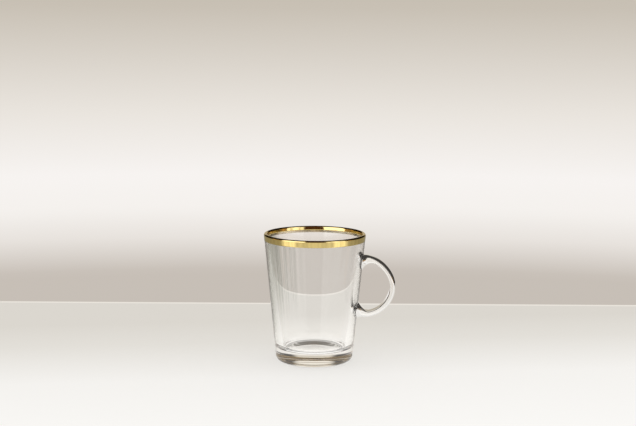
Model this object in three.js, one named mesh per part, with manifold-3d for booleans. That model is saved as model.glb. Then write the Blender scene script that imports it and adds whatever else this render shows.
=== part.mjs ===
// Tea glass with a handle: a conical glass with a heavy base, a strap handle fused
// to its side and a gold film fired over the rim. Millimetres, +Z up. The origin is
// the middle of the footprint of glass and handle together, at table level.
import * as THREE from 'three';
import { mergeVertices } from 'three/addons/utils/BufferGeometryUtils.js';
import Module from 'manifold-3d';

// Glass body
const rimDiameter = 80; // outside, over the rounded lip
const height = 101.5; // table to lip
const baseDiameter = 61; // outside, over the heel
const heelRadius = 4.5; // rounded edge between foot and wall
const lipThickness = 2.6; // wall at the lip, which is fully round
const floorThickness = 10.5; // solid glass under the drink
const floorDiameter = 51.2; // inside, over the floor's fillet
const floorFillet = 5; // inner wall to floor
const contactRing = 1.5; // width of the flat ring that the glass stands on
const recessDepth = 1; // shallow dome pressed up under the foot, within the ring

// Gold rim
const goldFilm = 0.1; // a stand-in thickness: the fired film is far thinner
const goldOutside = 5.4; // from the lip down the outer wall
const goldInside = 3.2; // from the lip down the inner wall

// Handle
const handleProjection = 24; // beyond the rim's radius
const handleDrop = 16.5; // from the lip down to the top of the strap
const handleSpan = 50.5; // top to bottom of the strap, outside
const shoulderFullness = 0.48; // upper bend, flatter than a circle's 0.552
const elbowFullness = 0.552; // lower bend, a circle's
const strapThickness = 4.7;
const strapWidth = 10;
const outerSquareness = 1.8; // exponent of the section's outer half: an ellipse is 2
const innerSquareness = 5.5; // the flatter half, towards the finger gap
const padSquareness = 2; // the same half at the wall, where the pad is oval
const padLength = 11; // where the strap spreads before it meets the wall
const padInnerFlare = 7.8; // spread towards the finger gap
const padSideFlare = 1.5; // spread to each side
const filletRun = 4; // the last of the pad, which runs out on the wall in a fillet
const filletSides = 3.5; // its spread to each side
const filletBack = 0.5; // its spread away from the finger gap
const fuseGap = 0.3; // between the pads and the wall they are fused to

// Facets
const roundSegments = 64;
const filletSteps = 6;
const lipSteps = 10;
const recessSteps = 5;
const strapSteps = 72;
const strapSides = 20;

// Points on a circle from one angle to another, in radians.
function arc(centre, radius, from, to, steps) {
  return Array.from({ length: steps + 1 }, (_, i) => {
    const angle = from + ((to - from) * i) / steps;
    return new THREE.Vector2(
      centre.x + radius * Math.cos(angle),
      centre.y + radius * Math.sin(angle),
    );
  });
}

// Lean of the straight line that touches two circles of a profile, from the axis.
// reach is the difference of their radii where both lie on one side of the line,
// and the sum where the line passes between them.
function tangentLean(low, high, reach) {
  const run = high.clone().sub(low);
  return Math.atan2(run.x, run.y) - Math.asin(reach / run.length());
}

// Point at a height on the line that leans by an angle through a profile point.
function onLine(through, lean, z) {
  return new THREE.Vector2(through.x + (z - through.y) * Math.tan(lean), z);
}

// Turns a profile of radius and height about the Z axis.
function revolve(profile) {
  return new THREE.LatheGeometry(profile, roundSegments).rotateX(Math.PI / 2);
}

// The glass wall: two straight lines tangent to the heel, the lip and the fillet.
const lipRadius = lipThickness / 2;
const heelCentre = new THREE.Vector2(baseDiameter / 2 - heelRadius, heelRadius);
const lipCentre = new THREE.Vector2(rimDiameter / 2 - lipRadius, height - lipRadius);
const filletCentre = new THREE.Vector2(
  floorDiameter / 2 - floorFillet,
  floorThickness + floorFillet,
);
const outerLean = tangentLean(heelCentre, lipCentre, heelRadius - lipRadius);
const innerLean = tangentLean(filletCentre, lipCentre, floorFillet + lipRadius);

// Section of the rim under the gold, over the lip from outside to inside. A film of
// some thickness over it follows the same line.
function rimSection(film) {
  const lip = arc(lipCentre, lipRadius + film, -outerLean, Math.PI - innerLean, lipSteps);
  const outerEdge = onLine(lip[0], outerLean, height - goldOutside);
  const innerEdge = onLine(lip.at(-1), innerLean, height - goldInside);
  return [outerEdge, ...lip, innerEdge];
}

// Underside, heel, outer wall, lip, inner wall and floor in one turned profile.
function glassBody() {
  const recessRadius = heelCentre.x - contactRing;
  const domeRadius = (recessRadius ** 2 + recessDepth ** 2) / (2 * recessDepth);
  const domeCentre = new THREE.Vector2(0, recessDepth - domeRadius);
  const domeEdge = Math.acos(recessRadius / domeRadius);
  return revolve([
    ...arc(domeCentre, domeRadius, Math.PI / 2, domeEdge, recessSteps),
    ...arc(heelCentre, heelRadius, -Math.PI / 2, -outerLean, filletSteps),
    ...rimSection(0),
    ...arc(filletCentre, floorFillet, -innerLean, -Math.PI / 2, filletSteps),
    new THREE.Vector2(0, floorThickness),
  ]);
}

// The film's inner face is the glass itself, so the profile runs out over the film
// and back along the glass.
function goldRim() {
  const outer = rimSection(goldFilm);
  const glass = rimSection(0).reverse();
  return revolve([...outer, ...glass, outer[0]]);
}

// Outside radius of the glass at a height on its straight wall.
function wallRadius(z) {
  const foot = arc(heelCentre, heelRadius, -outerLean, -outerLean, 1)[0];
  return onLine(foot, outerLean, z).x;
}

// Middle line of the strap: a straight run out of the wall, two bends and a run back.
const strapReach = rimDiameter / 2 + handleProjection;
function strapPath() {
  const top = height - handleDrop - strapThickness / 2;
  const bottom = height - handleDrop - handleSpan + strapThickness / 2;
  const bend = (top - bottom) / 2;
  const outermost = strapReach - strapThickness / 2;
  const bendStart = outermost - bend;
  const middle = (top + bottom) / 2;
  const inWall = (z) => Math.min(wallRadius(z), bendStart) - strapThickness;
  const at = (x, z) => new THREE.Vector3(x, 0, z);
  const path = new THREE.CurvePath();
  path.add(new THREE.LineCurve3(at(inWall(top), top), at(bendStart, top)));
  path.add(new THREE.CubicBezierCurve3(
    at(bendStart, top),
    at(bendStart + shoulderFullness * bend, top),
    at(outermost, middle + shoulderFullness * bend),
    at(outermost, middle),
  ));
  path.add(new THREE.CubicBezierCurve3(
    at(outermost, middle),
    at(outermost, middle - elbowFullness * bend),
    at(bendStart + elbowFullness * bend, bottom),
    at(bendStart, bottom),
  ));
  path.add(new THREE.LineCurve3(at(bendStart, bottom), at(inWall(bottom), bottom)));
  return path;
}

// One ring of the strap: a section with a round back and a flatter inside, which spreads
// into a pad as it nears the wall and runs out on it in a fillet. out points away from
// the finger gap.
function strapRing(point, out, toWall) {
  const { clamp, lerp } = THREE.MathUtils;
  const near = clamp(1 - toWall / padLength, 0, 1);
  const fused = clamp(1 - toWall / filletRun, 0, 1);
  const outer = strapThickness / 2 + filletBack * fused ** 2;
  const inner = strapThickness / 2 + padInnerFlare * near ** 2;
  const side = strapWidth / 2 + padSideFlare * near ** 2 + filletSides * fused ** 2;
  const flatness = lerp(innerSquareness, padSquareness, near);
  return Array.from({ length: strapSides }, (_, i) => {
    const angle = (2 * Math.PI * i) / strapSides;
    const isOuter = Math.cos(angle) > 0;
    const power = 2 / (isOuter ? outerSquareness : flatness);
    const round = (value) => Math.sign(value) * Math.abs(value) ** power;
    const rise = (outer - inner) / 2 + ((outer + inner) / 2) * round(Math.cos(angle));
    return point.clone().addScaledVector(out, rise).setY(side * round(Math.sin(angle)));
  });
}

// Closed skin over a row of rings with equal counts, with a flat fan at each end.
function skin(rings) {
  const sides = rings[0].length;
  const middleOf = (ring) => ring
    .reduce((sum, p) => sum.add(p), new THREE.Vector3())
    .divideScalar(sides);
  const points = [...rings.flat(), middleOf(rings[0]), middleOf(rings.at(-1))];
  const startCap = points.length - 2;
  const endCap = points.length - 1;
  const lastRing = (rings.length - 1) * sides;
  const faces = [];
  for (let side = 0; side < sides; side += 1) {
    const next = (side + 1) % sides;
    for (let ring = 0; ring < lastRing; ring += sides) {
      faces.push(ring + side, ring + sides + next, ring + next);
      faces.push(ring + side, ring + sides + side, ring + sides + next);
    }
    faces.push(startCap, side, next);
    faces.push(endCap, lastRing + next, lastRing + side);
  }
  const geometry = new THREE.BufferGeometry().setFromPoints(points);
  geometry.setIndex(faces);
  return geometry;
}

const wasm = await Module();
wasm.setup();

// A closed three.js geometry as a solid that can be cut, and back again.
function toSolid(geometry) {
  const bare = geometry.clone();
  bare.deleteAttribute('normal');
  bare.deleteAttribute('uv');
  const merged = mergeVertices(bare);
  return new wasm.Manifold(new wasm.Mesh({
    numProp: 3,
    vertProperties: new Float32Array(merged.attributes.position.array),
    triVerts: new Uint32Array(merged.index.array),
  }));
}

function toGeometry(solid) {
  const mesh = solid.getMesh();
  const geometry = new THREE.BufferGeometry();
  geometry.setAttribute('position', new THREE.BufferAttribute(mesh.vertProperties, 3));
  geometry.setIndex(new THREE.BufferAttribute(mesh.triVerts, 1));
  geometry.computeVertexNormals();
  return geometry;
}

// Strap with its two spread pads, cut to lie against the leaning wall of the glass.
function handle() {
  const path = strapPath();
  const length = path.getLength();
  const rings = Array.from({ length: strapSteps + 1 }, (_, i) => {
    const share = i / strapSteps;
    const point = path.getPointAt(share);
    const tangent = path.getTangentAt(share);
    const out = new THREE.Vector3(-tangent.z, 0, tangent.x);
    const toWall = Math.min(share, 1 - share) * length - strapThickness;
    return strapRing(point, out, toWall);
  });
  const wall = revolve([
    new THREE.Vector2(0, 0),
    new THREE.Vector2(wallRadius(0) + fuseGap, 0),
    new THREE.Vector2(wallRadius(height) + fuseGap, height),
    new THREE.Vector2(0, height),
  ]);
  return toGeometry(toSolid(skin(rings)).subtract(toSolid(wall)));
}

const clearGlass = { color: 0xe8eeea, roughness: 0.02, metalness: 0, opacity: 0.35 };

const teaGlass = new THREE.Group();
teaGlass.position.x = (rimDiameter / 2 + goldFilm - strapReach) / 2;

function addPiece(name, geometry, look) {
  const piece = new THREE.Mesh(geometry, new THREE.MeshStandardMaterial(look));
  piece.name = name;
  teaGlass.add(piece);
}

addPiece('glass_body', glassBody(), { ...clearGlass, transparent: true });
addPiece('handle', handle(), { ...clearGlass, transparent: true });
addPiece('gold_rim', goldRim(), { color: 0xd8b35c, roughness: 0.15, metalness: 1 });

export default teaGlass;
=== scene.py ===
"""A clear tea glass with a strap handle and a fired gold rim, on a pale table."""

import functools
import math

import bpy
import numpy as np
from mathutils import Matrix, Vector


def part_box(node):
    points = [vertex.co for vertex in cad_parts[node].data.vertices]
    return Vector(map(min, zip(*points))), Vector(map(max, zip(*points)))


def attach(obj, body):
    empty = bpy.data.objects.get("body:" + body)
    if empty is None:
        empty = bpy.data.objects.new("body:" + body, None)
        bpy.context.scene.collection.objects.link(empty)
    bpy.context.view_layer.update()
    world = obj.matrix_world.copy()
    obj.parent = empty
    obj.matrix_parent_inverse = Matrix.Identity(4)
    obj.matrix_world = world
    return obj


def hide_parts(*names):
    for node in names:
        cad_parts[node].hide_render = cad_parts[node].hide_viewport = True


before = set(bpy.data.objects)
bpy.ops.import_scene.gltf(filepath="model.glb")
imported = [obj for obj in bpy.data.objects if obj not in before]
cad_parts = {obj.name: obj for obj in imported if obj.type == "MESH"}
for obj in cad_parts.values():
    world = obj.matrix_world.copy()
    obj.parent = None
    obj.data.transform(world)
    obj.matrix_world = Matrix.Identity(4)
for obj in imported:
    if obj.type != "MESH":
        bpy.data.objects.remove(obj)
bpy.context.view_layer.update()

# Glass body
# The drinking glass itself: one piece of clear pressed glass with a heavy base,
# a leaning wall that thins towards a round, fire-polished lip, and a shallow dome
# under the foot.
MM = 0.001
body_low, body_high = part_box("glass_body")
axis_x = (body_low.x + body_high.x) / 2
rim_radius = (body_high.x - body_low.x) / 2
height = body_high.z
base_radius = 30.5 * MM
heel_radius = 4.5 * MM
lip_radius = 1.3 * MM
floor_height = 10.5 * MM
floor_radius = 25.6 * MM
floor_fillet = 5 * MM
recess_radius = 24.5 * MM
recess_depth = 1 * MM
AROUND = 224
DOME_STEPS = 18
FOOT_STEPS = 3
BEND_STEPS = 24
LIP_STEPS = 36
WALL_STEPS = 40
FLOOR_STEPS = 12
glass_ior = 1.51
mark_tint = (0.68, 0.70, 0.67)
mark_width = math.radians(4)
streak_detail = 2
streak_noise = (0.4, 0.6)
# Where the draw marks start and where they are full: across the glass, away from the
# handle, from the back to the front, and upwards. Towards the far edge from the handle the
# glass darkens, taking the mark tint all over.
marks_across = (-4 * MM, -24 * MM)
marks_forward = (8 * MM, -8 * MM)
marks_upward = (28 * MM, 75 * MM)
far_edge_darkening = (-28 * MM, -35 * MM)


def arc(centre, radius, start, end, steps):
    """Points centre + radius * (cos a, sin a) for a from start to end, in radians."""
    a = np.linspace(start, end, steps)[:, None]
    return np.asarray(centre) + radius * np.hstack([np.cos(a), np.sin(a)])


def straight(start, end, steps):
    """Evenly spaced points between two points, without the two ends."""
    share = np.linspace(0, 1, steps + 2)[1:-1, None]
    return (1 - share) * np.asarray(start) + share * np.asarray(end)


def tangent_lean(low, high, reach):
    """Lean from the axis of the line that touches a circle round low and one round high.

    reach is the difference of their radii, or the sum if the line passes between them.
    """
    run = np.subtract(high, low)
    return math.atan2(run[0], run[1]) - math.asin(reach / math.hypot(*run))


def turned(profile):
    """Rings of a turned shape: (r, z) becomes (axis + r cos a, r sin a, z)."""
    a = np.linspace(0, 2 * math.pi, AROUND, endpoint=False)
    radius, z = profile[:, :1], profile[:, 1:]
    return np.stack(
        [axis_x + radius * np.cos(a), radius * np.sin(a), z + 0 * a], axis=-1
    )


def closed_mesh(name, rings, poles=None):
    """Mesh on rings[i, j], point j of ring i, where each ring closes on itself.

    Two poles close the first and the last ring; with none, the last ring meets the first.
    """
    count, sides = rings.shape[:2]
    index = np.arange(count * sides).reshape(count, sides)
    rows = index if poles is None else index[:-1]
    above = np.roll(index, -1, axis=0)[: len(rows)]
    quads = np.stack(
        [rows, np.roll(rows, -1, axis=1), np.roll(above, -1, axis=1), above], axis=-1
    )
    points = rings.reshape(-1, 3)
    faces = quads.reshape(-1, 4).tolist()
    if poles is not None:
        first, last = index[0], index[-1]
        start, end = index.size, index.size + 1
        points = np.vstack([points, poles])
        faces += np.stack(
            [np.full(sides, start), np.roll(first, -1), first], axis=-1
        ).tolist()
        faces += np.stack(
            [np.full(sides, end), last, np.roll(last, -1)], axis=-1
        ).tolist()
    mesh = bpy.data.meshes.new(name)
    mesh.from_pydata(points.tolist(), [], faces)
    mesh.polygons.foreach_set("use_smooth", np.ones(len(mesh.polygons), bool))
    mesh.update()
    piece = bpy.data.objects.new(name, mesh)
    bpy.context.scene.collection.objects.link(piece)
    return piece


heel_centre = (base_radius - heel_radius, heel_radius)
lip_centre = (rim_radius - lip_radius, height - lip_radius)
fillet_centre = (floor_radius - floor_fillet, floor_height + floor_fillet)
outer_lean = tangent_lean(heel_centre, lip_centre, heel_radius - lip_radius)
inner_lean = tangent_lean(fillet_centre, lip_centre, floor_fillet + lip_radius)
dome_radius = (recess_radius**2 + recess_depth**2) / (2 * recess_depth)
dome = arc(
    (0, recess_depth - dome_radius),
    dome_radius,
    math.pi / 2,
    math.acos(recess_radius / dome_radius),
    DOME_STEPS,
)
heel = arc(heel_centre, heel_radius, -math.pi / 2, -outer_lean, BEND_STEPS)
lip = arc(lip_centre, lip_radius, -outer_lean, math.pi - inner_lean, LIP_STEPS)
fillet = arc(fillet_centre, floor_fillet, -inner_lean, -math.pi / 2, BEND_STEPS)
floor_middle = (0, floor_height)
body_profile = np.vstack([
    dome[1:],
    straight(dome[-1], heel[0], FOOT_STEPS),
    heel,
    straight(heel[-1], lip[0], WALL_STEPS),
    lip,
    straight(lip[-1], fillet[0], WALL_STEPS),
    fillet,
    straight(fillet[-1], floor_middle, FLOOR_STEPS),
])
glass_body = closed_mesh(
    "clear_glass_body",
    turned(body_profile),
    poles=[(axis_x, 0, recess_depth), (axis_x, 0, floor_height)],
)


def new_finish(name):
    """A new material, with its nodes and its links."""
    material = bpy.data.materials.new(name)
    material.use_nodes = True
    return material, material.node_tree.nodes, material.node_tree.links


def place_xyz(nodes, links, kind):
    """Texture coordinates of one kind, as three sockets."""
    place = nodes.new("ShaderNodeTexCoord")
    split = nodes.new("ShaderNodeSeparateXYZ")
    links.new(place.outputs[kind], split.inputs["Vector"])
    return [split.outputs[axis] for axis in "XYZ"]


def node_math(nodes, links, operation, *values):
    """A Math node on sockets or plain numbers."""
    node = nodes.new("ShaderNodeMath")
    node.operation = operation
    for slot, value in zip(node.inputs, values):
        if isinstance(value, (int, float)):
            slot.default_value = value
        else:
            links.new(value, slot)
    return node.outputs["Value"]


def product(nodes, links, *values):
    """Sockets multiplied together."""
    return functools.reduce(functools.partial(node_math, nodes, links, "MULTIPLY"), values)


def soft_step(nodes, links, value, start, end):
    """0 before start, 1 after end and a smooth rise between them."""
    step = nodes.new("ShaderNodeMapRange")
    step.interpolation_type = "SMOOTHSTEP"
    step.inputs["From Min"].default_value = start
    step.inputs["From Max"].default_value = end
    links.new(value, step.inputs["Value"])
    return step.outputs["Result"]


def streaks(nodes, links, value, width, low, high):
    """Soft streaks between low and high along a value, about a width apart.

    Only the middle of the noise counts, so that most of a streak is either low or high.
    """
    noise = nodes.new("ShaderNodeTexNoise")
    noise.noise_dimensions = "1D"
    noise.inputs["Scale"].default_value = 1 / width
    noise.inputs["Detail"].default_value = streak_detail
    span = nodes.new("ShaderNodeMapRange")
    span.inputs["From Min"].default_value = streak_noise[0]
    span.inputs["From Max"].default_value = streak_noise[1]
    span.inputs["To Min"].default_value = low
    span.inputs["To Max"].default_value = high
    links.new(value, noise.inputs["W"])
    links.new(noise.outputs["Fac"], span.inputs["Value"])
    return span.outputs["Result"]


def lay_over(nodes, links, below, above, share):
    """One colour laid over another by a share. Either is a socket or a plain colour."""
    mix = nodes.new("ShaderNodeMix")
    mix.data_type = "RGBA"
    for slot, colour in ((mix.inputs[6], below), (mix.inputs[7], above)):
        if isinstance(colour, tuple):
            slot.default_value = (*colour, 1)
        else:
            links.new(colour, slot)
    links.new(share, mix.inputs[0])
    return mix.outputs[2]


def clear_glass():
    """Colourless soda-lime glass, polished by fire, with faint upright draw marks.

    The marks follow the bearing about the axis. They lie on the upper front of the wall
    and fade out towards the handle. Towards the far edge from the handle the glass darkens,
    taking the mark tint all over.
    """
    material, nodes, links = new_finish("clear_glass")
    fade = functools.partial(soft_step, nodes, links)
    x, y, z = place_xyz(nodes, links, "Object")
    across = node_math(nodes, links, "SUBTRACT", x, axis_x)
    around = node_math(nodes, links, "ARCTAN2", y, across)
    marks = product(
        nodes,
        links,
        streaks(nodes, links, around, mark_width, 0, 1),
        fade(across, *marks_across),
        fade(y, *marks_forward),
        fade(z, *marks_upward),
    )
    # Darker towards the far edge from the handle: there the glass takes the mark tint all over.
    tinted = node_math(nodes, links, "MAXIMUM", marks, fade(across, *far_edge_darkening))
    shader = nodes["Principled BSDF"]
    links.new(
        lay_over(nodes, links, (1, 1, 1), mark_tint, tinted), shader.inputs["Base Color"]
    )
    shader.inputs["Roughness"].default_value = 0
    shader.inputs["IOR"].default_value = glass_ior
    shader.inputs["Transmission Weight"].default_value = 1
    return material


glass = clear_glass()
glass_body.data.materials.append(glass)
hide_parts("glass_body")
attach(glass_body, "root")

# Handle
# A strap of the same glass bent into a C. Both ends were spread into pads and fused
# to the hot wall, so the pads follow the wall and flare towards the finger gap.
strap_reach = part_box("handle")[1].x
strap_thickness = 4.7 * MM
strap_width = 10 * MM
strap_drop = 16.5 * MM
strap_span = 50.5 * MM
shoulder_fullness = 0.48
elbow_fullness = 0.552
outer_squareness = 1.8
inner_squareness = 5.5
pad_squareness = 2
pad_length = 11 * MM
pad_inner_flare = 7.8 * MM
pad_side_flare = 1.5 * MM
fillet_run = 4 * MM
fillet_sides = 3.5 * MM
fillet_back = 0.5 * MM
pad_seat = 0.02 * MM
CURVE_STEPS = 400
STRAP_SIDES = 72
STRAP_RINGS = 220
CAP_RINGS = 10


def wall_radius(z):
    """Outside radius of the straight wall at a height."""
    return heel[-1, 0] + (z - heel[-1, 1]) * math.tan(outer_lean)


def on_wall(y, z):
    """x of the pads' seat on the wall's cone: axis + sqrt((radius + seat)^2 - y^2)."""
    return axis_x + np.sqrt((wall_radius(z) + pad_seat)**2 - y**2)


def bezier(a, b, c, d):
    """Cubic Bezier curve from a to d with the two handles b and c."""
    t = np.linspace(0, 1, CURVE_STEPS)[:, None]
    a, b, c, d = (np.asarray(p) for p in (a, b, c, d))
    return (1 - t)**3 * a + 3 * t * (1 - t)**2 * b + 3 * t**2 * (1 - t) * c + t**3 * d


def even_steps(path, count):
    """A polyline's points again, at equal distances along it, and those distances."""
    along = np.concatenate([[0], np.cumsum(np.hypot(*np.diff(path, axis=0).T))])
    share = np.linspace(0, along[-1], count)
    return np.stack([np.interp(share, along, path[:, k]) for k in (0, 1)], axis=-1), share


def strap_path():
    """Middle line of the strap in x and z: wall, shoulder bend, elbow bend, wall."""
    top = height - strap_drop - strap_thickness / 2
    bottom = height - strap_drop - strap_span + strap_thickness / 2
    bend = (top - bottom) / 2
    middle = (top + bottom) / 2
    outermost = strap_reach - strap_thickness / 2
    start = outermost - bend
    shoulder = bezier(
        (start, top),
        (start + shoulder_fullness * bend, top),
        (outermost, middle + shoulder_fullness * bend),
        (outermost, middle),
    )
    elbow = bezier(
        (outermost, middle),
        (outermost, middle - elbow_fullness * bend),
        (start + elbow_fullness * bend, bottom),
        (start, bottom),
    )
    upper_seat = (axis_x + wall_radius(top), top)
    lower_seat = (axis_x + wall_radius(bottom), bottom)
    return np.vstack([upper_seat, shoulder, elbow[1:], lower_seat])


def strap_rings():
    """Rings of a rounded section carried along the strap's middle line.

    A ring's point is the middle line plus its rise across the strap and its place along Y.
    Near the wall the section spreads, and the point slides on to the wall's cone.
    """
    middle, along = even_steps(strap_path(), STRAP_RINGS)
    tangent = np.gradient(middle, axis=0)
    tangent /= np.hypot(*tangent.T)[:, None]
    out = np.stack([-tangent[:, 1], tangent[:, 0]], axis=-1)
    to_wall = np.minimum(along, along[-1] - along)
    near = np.clip(1 - to_wall / pad_length, 0, 1)[:, None]
    fused = np.clip(1 - to_wall / fillet_run, 0, 1)[:, None]
    a = np.linspace(0, 2 * math.pi, STRAP_SIDES, endpoint=False)
    flatness = inner_squareness + (pad_squareness - inner_squareness) * near
    power = 2 / np.where(np.cos(a) > 0, outer_squareness, flatness)
    across = np.sign(np.cos(a)) * np.abs(np.cos(a))**power
    sideways = np.sign(np.sin(a)) * np.abs(np.sin(a))**power
    outer = strap_thickness / 2 + fillet_back * fused**2
    inner = strap_thickness / 2 + pad_inner_flare * near**2
    broad = strap_width / 2 + pad_side_flare * near**2 + fillet_sides * fused**2
    rise = (outer - inner) / 2 + (outer + inner) / 2 * across
    y = broad * sideways
    z = middle[:, 1:] + rise * out[:, 1:]
    seat_x = np.where(along[:, None] < along[-1] / 2, middle[0, 0], middle[-1, 0])
    slide = (on_wall(y, z) - seat_x) * near**2
    x = middle[:, :1] + rise * out[:, :1] + slide
    return np.stack([x, y, z], axis=-1)


def pad_face(ring):
    """Rings that close a pad on the wall's cone, from its middle to a ring, and the middle."""
    centre_z = ring[:, 2].mean()
    share = np.linspace(0, 1, CAP_RINGS + 1)[1:-1, None]
    y = share * ring[:, 1]
    z = centre_z + share * (ring[:, 2] - centre_z)
    return np.stack([on_wall(y, z), y, z], axis=-1), (on_wall(0, centre_z), 0, centre_z)


strap = strap_rings()
upper_face, upper_middle = pad_face(strap[0])
lower_face, lower_middle = pad_face(strap[-1])
handle = closed_mesh(
    "strap_handle",
    np.concatenate([upper_face, strap, lower_face[::-1]]),
    poles=[upper_middle, lower_middle],
)
handle.data.materials.append(glass)
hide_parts("handle")
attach(handle, "root")

# Gold rim
# A bright gold film fired on to the lip: a band outside, over the top and a narrow
# line inside. It has no thickness to speak of, so it is a skin on the glass.
gold_outside = 5.4 * MM
gold_inside = 3.2 * MM
gold_proud = 0.03 * MM
gold_sunk = -0.01 * MM
BAND_STEPS = 8
LINE_STEPS = 4
gold_deep = (0.80, 0.61, 0.22)
gold_bright = (0.94, 0.74, 0.31)
gold_through_glass = (0.72, 0.63, 0.48)
gold_roughness = (0.05, 0.16)
cloud_scale = 90
cloud_detail = 3


def on_line(through, lean, z):
    """Point at a height on the line that leans from the axis through a point."""
    return np.array([through[0] + (z - through[1]) * math.tan(lean), z])


def rim_line(offset):
    """Section of the rim under the gold, at an offset from the glass."""
    over = arc(lip_centre, lip_radius + offset, -outer_lean, math.pi - inner_lean, LIP_STEPS)
    outer_edge = on_line(over[0], outer_lean, height - gold_outside)
    inner_edge = on_line(over[-1], inner_lean, height - gold_inside)
    return np.vstack([
        outer_edge,
        straight(outer_edge, over[0], BAND_STEPS),
        over,
        straight(over[-1], inner_edge, LINE_STEPS),
        inner_edge,
    ])


gold_rim = closed_mesh(
    "gold_rim_film",
    turned(np.vstack([rim_line(gold_proud), rim_line(gold_sunk)[::-1]])),
)


def ramp(nodes, links, value, stops):
    """Colours or plain levels over a value: a stop is where it stands, and its colour."""
    start, end = stops[0][0], stops[-1][0]
    share = nodes.new("ShaderNodeMapRange")
    share.inputs["From Min"].default_value = start
    share.inputs["From Max"].default_value = end
    colours = nodes.new("ShaderNodeValToRGB")
    while len(colours.color_ramp.elements) < len(stops):
        colours.color_ramp.elements.new(1)
    for element, (place, colour) in zip(colours.color_ramp.elements, stops):
        element.position = (place - start) / (end - start)
        element.color = (*np.broadcast_to(np.asarray(colour, float), 3), 1)
    links.new(value, share.inputs["Value"])
    links.new(share.outputs["Result"], colours.inputs["Fac"])
    return colours.outputs["Color"]


def fired_gold():
    """Bright burnished gold whose tone and gloss wander a little round the rim.

    Its underside, which is seen through the glass, is duller.
    """
    material, nodes, links = new_finish("fired_gold")
    place = nodes.new("ShaderNodeTexCoord")
    cloud = nodes.new("ShaderNodeTexNoise")
    cloud.inputs["Scale"].default_value = cloud_scale
    cloud.inputs["Detail"].default_value = cloud_detail
    links.new(place.outputs["Object"], cloud.inputs["Vector"])
    tone = ramp(nodes, links, cloud.outputs["Fac"], [(0, gold_deep), (1, gold_bright)])
    path = nodes.new("ShaderNodeLightPath")
    through = node_math(nodes, links, "MINIMUM", path.outputs["Transmission Depth"], 1)
    tone = lay_over(nodes, links, tone, gold_through_glass, through)
    gloss = nodes.new("ShaderNodeMapRange")
    gloss.inputs["To Min"].default_value = gold_roughness[0]
    gloss.inputs["To Max"].default_value = gold_roughness[1]
    links.new(cloud.outputs["Fac"], gloss.inputs["Value"])
    shader = nodes["Principled BSDF"]
    shader.inputs["Metallic"].default_value = 1
    links.new(tone, shader.inputs["Base Color"])
    links.new(gloss.outputs["Result"], shader.inputs["Roughness"])
    return material


gold_rim.data.materials.append(fired_gold())
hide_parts("gold_rim")
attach(gold_rim, "root")

# Table
# A pale table that ends a hand's length behind the glass. Most of what is seen of it is
# its own pale tone, and the rest is lit, so that the glass keeps a soft shadow.
table_back = 0.21
table_front = -3.0
table_half = 3.0
table_glow = 0.75
# Painted shade: the table's tone darkens towards the back and a little to the left, where the
# light falls off.
painted_falloff_slant = 0.12
table_tones_painted_falloff = [
    (-0.20, (0.96, 0.95, 0.93)),
    (-0.05, (0.91, 0.895, 0.87)),
    (0.06, (0.77, 0.745, 0.70)),
    (0.14, (0.71, 0.68, 0.63)),
]
# A painted highlight: a paler strip along the table's back edge, where the edge catches the
# light.
highlight_strip_width = 6 * MM
painted_edge_highlight = (0.82, 0.78, 0.72)
# How bright the table's glow is through the glass, by distance from the axis: a painted
# pool of light under the base, and a painted contact shade under the heel.
levels_through_glass = [
    (24.5 * MM, 1.5),
    (26 * MM, 0.44),
    (28.5 * MM, 0.44),
    (30 * MM, 1.35),
    (80 * MM, 1.15),
    (130 * MM, 1),
]
# Painted reflection: how bright the table is as mirrored in the gold, by turn from the camera's
# side in degrees.
levels_in_gold = [(38, 0.66), (46, 1.3), (68, 1.3), (80, 0.26)]
# Painted streaks of lighter and darker reflection in the gold, over the same turn.
reflection_streak_width = 7
reflection_streaks = (0.8, 1.2)


def before_the_table(nodes, links):
    """Light Path: 1 for what the camera sees, also by gloss and through glass, else 0.

    A path that has met the dull table counts as its light, and gives 0.
    """
    path = nodes.new("ShaderNodeLightPath")
    return node_math(nodes, links, "LESS_THAN", path.outputs["Diffuse Depth"], 1)


def seen_in_gold(nodes, links):
    """Light Path: 1 for what the burnished gold mirrors to the camera, else 0.

    Glass mirrors sharply, so its rays are singular; those off the gold are not.
    """
    path = nodes.new("ShaderNodeLightPath")
    in_glass = node_math(
        nodes, links, "ADD", path.outputs["Transmission Depth"], path.outputs["Is Singular Ray"]
    )
    direct = node_math(nodes, links, "LESS_THAN", in_glass, 1)
    return node_math(nodes, links, "MULTIPLY", direct, path.outputs["Is Glossy Ray"])


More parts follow.
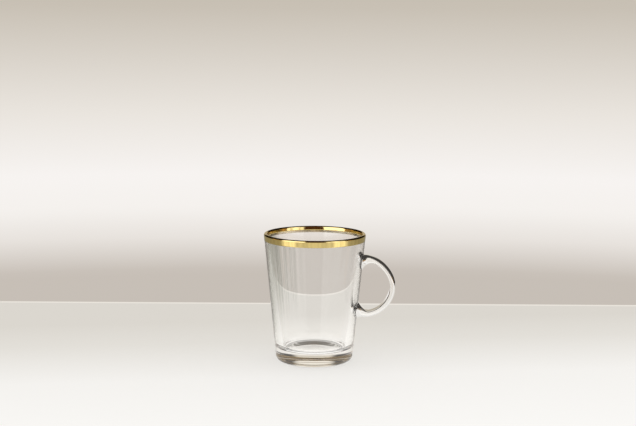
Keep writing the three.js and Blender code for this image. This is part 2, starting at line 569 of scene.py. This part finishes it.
def pale_table():
    """Paint that glows in its own tone for the most part, and is lit for the rest.

    The tone is painted darker towards the back and a little to the left, as painted shade where
    the light falls off, up to a painted highlight along the back edge. The glow has its own
    levels: painted light where the table is seen through glass, and a painted reflection where
    it is seen in the gold.
    """
    material, nodes, links = new_finish("pale_table")
    nodes.clear()
    table_math = functools.partial(node_math, nodes, links)

    def level_where(share, level):
        """The level where the share is 1, and 1 where the share is 0."""
        return table_math("MULTIPLY_ADD", share, table_math("SUBTRACT", level, 1), 1)

    x, y, _ = place_xyz(nodes, links, "Object")
    # Painted shade: darker towards the back and a little to the left.
    tone = ramp(nodes, links, table_math("MULTIPLY_ADD", x, -painted_falloff_slant, y), table_tones_painted_falloff)
    # Painted highlight along the back edge.
    on_edge_highlight = table_math("GREATER_THAN", y, table_back - highlight_strip_width)
    tone = lay_over(nodes, links, tone, painted_edge_highlight, on_edge_highlight)

    across = table_math("SUBTRACT", x, axis_x)
    reach = table_math(
        "SQRT", table_math("MULTIPLY_ADD", across, across, table_math("MULTIPLY", y, y))
    )
    path = nodes.new("ShaderNodeLightPath")
    through = table_math("MINIMUM", path.outputs["Transmission Depth"], 1)
    to_front = table_math("MULTIPLY", y, -1)
    turn = table_math(
        "DEGREES", table_math("ARCTAN2", table_math("ABSOLUTE", across), to_front)
    )
    # Painted reflection: the table's glow as the gold mirrors it, by turn and in streaks.
    mirrored = product(
        nodes,
        links,
        ramp(nodes, links, turn, levels_in_gold),
        streaks(nodes, links, turn, reflection_streak_width, *reflection_streaks),
    )
    strength = product(
        nodes,
        links,
        before_the_table(nodes, links),
        level_where(through, ramp(nodes, links, reach, levels_through_glass)),
        level_where(seen_in_gold(nodes, links), mirrored),
    )

    lit = nodes.new("ShaderNodeBsdfDiffuse")
    glow = nodes.new("ShaderNodeEmission")
    mix = nodes.new("ShaderNodeMixShader")
    out = nodes.new("ShaderNodeOutputMaterial")
    mix.inputs["Fac"].default_value = table_glow
    links.new(tone, lit.inputs["Color"])
    links.new(tone, glow.inputs["Color"])
    links.new(strength, glow.inputs["Strength"])
    links.new(lit.outputs["BSDF"], mix.inputs[1])
    links.new(glow.outputs["Emission"], mix.inputs[2])
    links.new(mix.outputs["Shader"], out.inputs["Surface"])
    return material


table_mesh = bpy.data.meshes.new("table")
table_mesh.from_pydata(
    [
        (-table_half, table_front, 0),
        (table_half, table_front, 0),
        (table_half, table_back, 0),
        (-table_half, table_back, 0),
    ],
    [],
    [(0, 1, 2, 3)],
)
table = bpy.data.objects.new("table", table_mesh)
bpy.context.scene.collection.objects.link(table)
table.data.materials.append(pale_table())

# Light
# A plain even light falls on all that is dull. What glass and gold show is a studio, laid
# out by direction: a pale backdrop behind the glass, a soft box on each side of the camera
# with a brown wall beside it, and the dark room.
even_light = (1.0, 0.99, 0.97)
room_dark = (0.05, 0.045, 0.04)
room_front = (0.075, 0.034, 0.014)
left_grey = (0.20, 0.19, 0.18)
brown_wall = (0.55, 0.33, 0.13)
ceiling = (0.95, 0.92, 0.86)
box_in_glass = (1.25, 1.22, 1.17)
box_in_gold = (2.0, 2.0, 2.2)
box_twice_mirrored = (0.40, 0.38, 0.35)
gold_shade = (0.012, 0.008, 0.005)
gold_under = (0.30, 0.29, 0.25)
one_wall_gain = 0.28
backdrop_tones = [
    (-30, (0.55, 0.52, 0.47)),
    (-10.6, (0.57, 0.52, 0.47)),
    (-9.0, (0.80, 0.76, 0.72)),
    (-7.6, (0.91, 0.88, 0.85)),
    (-6.0, (0.93, 0.90, 0.88)),
    (-3.0, (0.82, 0.78, 0.73)),
    (2.0, (0.58, 0.53, 0.46)),
    (9, (0.46, 0.41, 0.33)),
    (14, (0.46, 0.41, 0.33)),
    (19, (0.80, 0.76, 0.68)),
    (32, (0.74, 0.70, 0.62)),
    (48, room_dark),
]
# Limits in degrees. A bearing is 0 towards the camera, positive to the handle's side and
# 180 behind the glass. A turn is a bearing without its sign, and a rise is above level.
# With two numbers, an edge starts at the first and is full at the second. With three, a
# patch lies between the first and the second, and its edges fade over the third.
front_turn = (40, 24)
left_bearing = (-130, -95, 12)
left_rise = (8, 16)
wall_turn = (76, 110, 3)
wall_rise = (-4, 13, 3)
fold_width = 11
fold_shades = (0.45, 1)
right_box_bearing = (29, 71, 3)
left_box_bearing = (-77, -24, 3)
box_foot_rise = (-16, -4)
box_top_rise = (32, 24)
box_higher_in_gold = 18
ceiling_turn = (108, 120)
ceiling_rise = (36, 54, 4)
backdrop_turn = (152, 165)
low_backdrop_turn = (128, 150)
low_backdrop_rise = (-6, -10)
flag_bearing = (96, 152, 3)
flag_rise = (-1, 16, 2)
gold_side_turn = (112, 158, 6)
gold_side_rise = (-3, 2)
gold_top_turn = (78, 82)
gold_top_rise = (13, 18)
gold_under_rise = (-1, -4)
clear_rise = (2, -2)

world = bpy.data.worlds.new("studio")
world.use_nodes = True
bpy.context.scene.world = world
sky_nodes, sky_links = world.node_tree.nodes, world.node_tree.links
sky_math = functools.partial(node_math, sky_nodes, sky_links)
sky_product = functools.partial(product, sky_nodes, sky_links)
sky_edge = functools.partial(soft_step, sky_nodes, sky_links)
sky_over = functools.partial(lay_over, sky_nodes, sky_links)


def sky_patch(value, low, high, soft):
    """1 between low and high, with edges that fade over a soft width outside them."""
    return sky_product(sky_edge(value, low - soft, low), sky_edge(value, high + soft, high))


east, north, up = place_xyz(sky_nodes, sky_links, "Generated")
bearing = sky_math("DEGREES", sky_math("ARCTAN2", east, sky_math("MULTIPLY", north, -1)))
turn = sky_math("ABSOLUTE", bearing)
rise = sky_math("DEGREES", sky_math("ARCSINE", up))
sky_path = sky_nodes.new("ShaderNodeLightPath")
mirrors = sky_path.outputs["Glossy Depth"]
glass_faces = sky_path.outputs["Transmission Depth"]
in_gold = seen_in_gold(sky_nodes, sky_links)

backdrop = ramp(sky_nodes, sky_links, rise, backdrop_tones)
low_backdrop = sky_product(
    sky_edge(turn, *low_backdrop_turn), sky_edge(rise, *low_backdrop_rise)
)
behind = sky_math("MAXIMUM", low_backdrop, sky_edge(turn, *backdrop_turn))
folds = streaks(sky_nodes, sky_links, bearing, fold_width, *fold_shades)
mirrored_once = sky_math("LESS_THAN", mirrors, 2)
box_off_gold = sky_over(box_twice_mirrored, box_in_gold, mirrored_once)
soft_box = sky_over(box_in_glass, box_off_gold, in_gold)
below_top = sky_math("MULTIPLY_ADD", in_gold, -box_higher_in_gold, rise)
box_height = sky_product(sky_edge(rise, *box_foot_rise), sky_edge(below_top, *box_top_rise))
past_one_wall = sky_math("GREATER_THAN", glass_faces, 2)
gold_sides = sky_product(sky_patch(turn, *gold_side_turn), sky_edge(rise, *gold_side_rise))
gold_top = sky_product(sky_edge(turn, *gold_top_turn), sky_edge(rise, *gold_top_rise))
unmirrored = sky_math("LESS_THAN", mirrors, 1)
clear_view = sky_math(
    "MAXIMUM",
    sky_path.outputs["Is Camera Ray"],
    sky_product(unmirrored, sky_edge(rise, *clear_rise)),
)

studio = room_dark
for colour, *shares in (
    (room_front, sky_edge(turn, *front_turn)),
    (left_grey, sky_patch(bearing, *left_bearing), sky_edge(rise, *left_rise)),
    (brown_wall, sky_patch(turn, *wall_turn), sky_patch(rise, *wall_rise), folds),
    (soft_box, sky_patch(bearing, *right_box_bearing), box_height, folds),
    (soft_box, sky_patch(bearing, *left_box_bearing), box_height),
    (ceiling, sky_edge(turn, *ceiling_turn), sky_patch(rise, *ceiling_rise), past_one_wall),
    (backdrop, behind),
    (room_dark, sky_patch(bearing, *flag_bearing), sky_patch(rise, *flag_rise)),
    (gold_shade, in_gold, sky_math("MAXIMUM", gold_sides, gold_top)),
    (gold_under, in_gold, sky_edge(rise, *gold_under_rise)),
    (backdrop, clear_view),
):
    studio = sky_over(studio, colour, sky_product(*shares))

sky = sky_nodes["Background"]
sky_links.new(
    sky_over(even_light, studio, before_the_table(sky_nodes, sky_links)), sky.inputs["Color"]
)
# Through one wall, in at one face and out at the next, the studio is a little brighter.
one_wall = sky_math("COMPARE", glass_faces, 2, 0)
sky_links.new(sky_math("MULTIPLY_ADD", one_wall, one_wall_gain, 1), sky.inputs["Strength"])
# The base sends light round inside the glass many times, so the light paths are long.
world.cycles.sampling_method = "NONE"
light_paths = bpy.context.scene.cycles
light_paths.max_bounces = 32
light_paths.glossy_bounces = 24
light_paths.transmission_bounces = 24

# Camera
# At the photograph's place: not quite a metre in front of the glass, higher than its rim
# and looking a little down at it. Sensor and lens are in millimetres.
camera_right = 2.37 * MM
camera_back = 0.918
camera_height = 0.2438
camera_pitch = math.radians(7.84)
camera_roll = math.radians(0.35)
camera_sensor = 36
camera_lens = 66.96
camera = bpy.data.objects.new("camera", bpy.data.cameras.new("camera"))
camera.data.sensor_width = camera_sensor
camera.data.lens = camera_lens
camera.matrix_world = (
    Matrix.Translation((axis_x + camera_right, -camera_back, camera_height))
    @ Matrix.Rotation(math.pi / 2 - camera_pitch, 4, "X")
    @ Matrix.Rotation(camera_roll, 4, "Z")
)
bpy.context.scene.collection.objects.link(camera)
bpy.context.scene.camera = camera
bpy.context.scene.view_settings.view_transform = "Standard"

bpy.context.view_layer.update()
